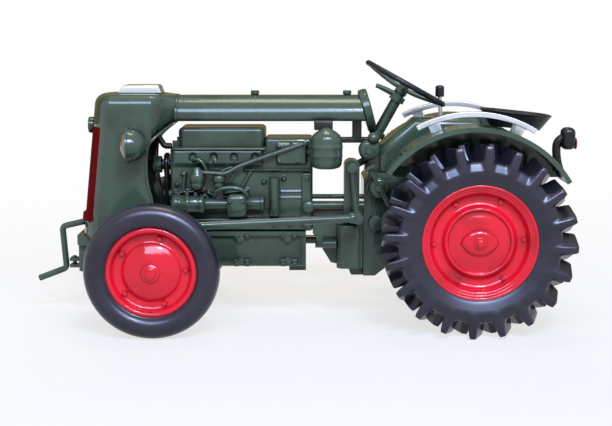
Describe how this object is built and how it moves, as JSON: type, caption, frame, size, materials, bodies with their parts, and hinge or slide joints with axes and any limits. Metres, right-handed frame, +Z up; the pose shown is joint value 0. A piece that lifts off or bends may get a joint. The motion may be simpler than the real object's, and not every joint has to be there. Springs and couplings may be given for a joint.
{
  "type": "die-cast model farm tractor",
  "caption": "Small die-cast model of a vintage farm tractor with an upright radiator, long round tank, open engine, lugged rear tyres and wheels that roll.",
  "frame": {"origin": "on the ground under the centre of the model's box", "axes": "+X points to the rear, +Y to the tractor's right, +Z up; the tractor faces -X"},
  "size_m": [0.0872, 0.0408, 0.0423],
  "materials": {
    "green_enamel": "dark green gloss enamel over die-cast zinc",
    "red_enamel": "red gloss enamel",
    "bright_metal": "bright silver plating",
    "steel": "plain turned steel",
    "black_plastic": "black moulded plastic, half gloss",
    "black_enamel": "black enamel",
    "tyre": "moulded black rubber",
    "lamp_lens": "warm pale lens paint, glossy",
    "red_lens": "red lens paint, glossy"
  },
  "bodies": {
    "chassis": {"air_cleaner": "green_enamel", "clutch_housing": "green_enamel", "control_rods": "green_enamel", "cooling_fan": "black_enamel", "dash_plate": "green_enamel", "drag_link": "green_enamel", "drawbar": "green_enamel", "drop_arm": "green_enamel", "engine_block": "green_enamel", "exhaust": "green_enamel", "fender_rails": "bright_metal", "fenders": "green_enamel", "filler_cover": "bright_metal", "footboards": "green_enamel", "front_axle": "green_enamel", "front_frame": "green_enamel", "front_knuckles": "green_enamel", "fuel_filters": "green_enamel", "fuel_pipe": "green_enamel", "fuel_tank": "green_enamel", "gear_cover": "green_enamel", "gear_knob": "black_plastic", "gear_lever": "steel", "gearbox": "green_enamel", "grille": "red_enamel", "grille_badge": "green_enamel", "hand_crank": "green_enamel", "headlamp_lenses": "lamp_lens", "headlamps": "green_enamel", "injection_pump": "green_enamel", "oil_pan": "green_enamel", "pedals": "green_enamel", "radiator_core": "black_enamel", "radiator_hose": "black_enamel", "radiator_shell": "green_enamel", "rear_axle_housings": "green_enamel", "rear_axle_shafts": "steel", "rear_lamp": "black_plastic", "rear_lamp_lens": "red_lens", "rocker_cover": "green_enamel", "seat": "black_plastic", "seat_post": "green_enamel", "steering_box": "green_enamel", "steering_column": "green_enamel", "steering_wheel": "black_plastic", "tank_caps": "green_enamel", "tank_support": "black_enamel", "tie_rod": "green_enamel"},
    "front_wheel_left": {"front_rim_left": "red_enamel", "front_tyre_left": "tyre"},
    "front_wheel_right": {"front_rim_right": "red_enamel", "front_tyre_right": "tyre"},
    "rear_wheel_left": {"rear_rim_left": "red_enamel", "rear_tyre_left": "tyre"},
    "rear_wheel_right": {"rear_rim_right": "red_enamel", "rear_tyre_right": "tyre"}
  },
  "joints": [
    {"name": "rear_wheel_left_spin", "type": "hinge", "parent": "chassis", "child": "rear_wheel_left", "pos_m": [0.02839, -0.0162, 0.015], "axis": [0, 1, 0], "continuous": true},
    {"name": "rear_wheel_right_spin", "type": "hinge", "parent": "chassis", "child": "rear_wheel_right", "pos_m": [0.02839, 0.0162, 0.015], "axis": [0, 1, 0], "continuous": true},
    {"name": "front_wheel_left_spin", "type": "hinge", "parent": "chassis", "child": "front_wheel_left", "pos_m": [-0.02191, -0.0181, 0.0105], "axis": [0, 1, 0], "continuous": true},
    {"name": "front_wheel_right_spin", "type": "hinge", "parent": "chassis", "child": "front_wheel_right", "pos_m": [-0.02191, 0.0181, 0.0105], "axis": [0, 1, 0], "continuous": true}
  ]
}
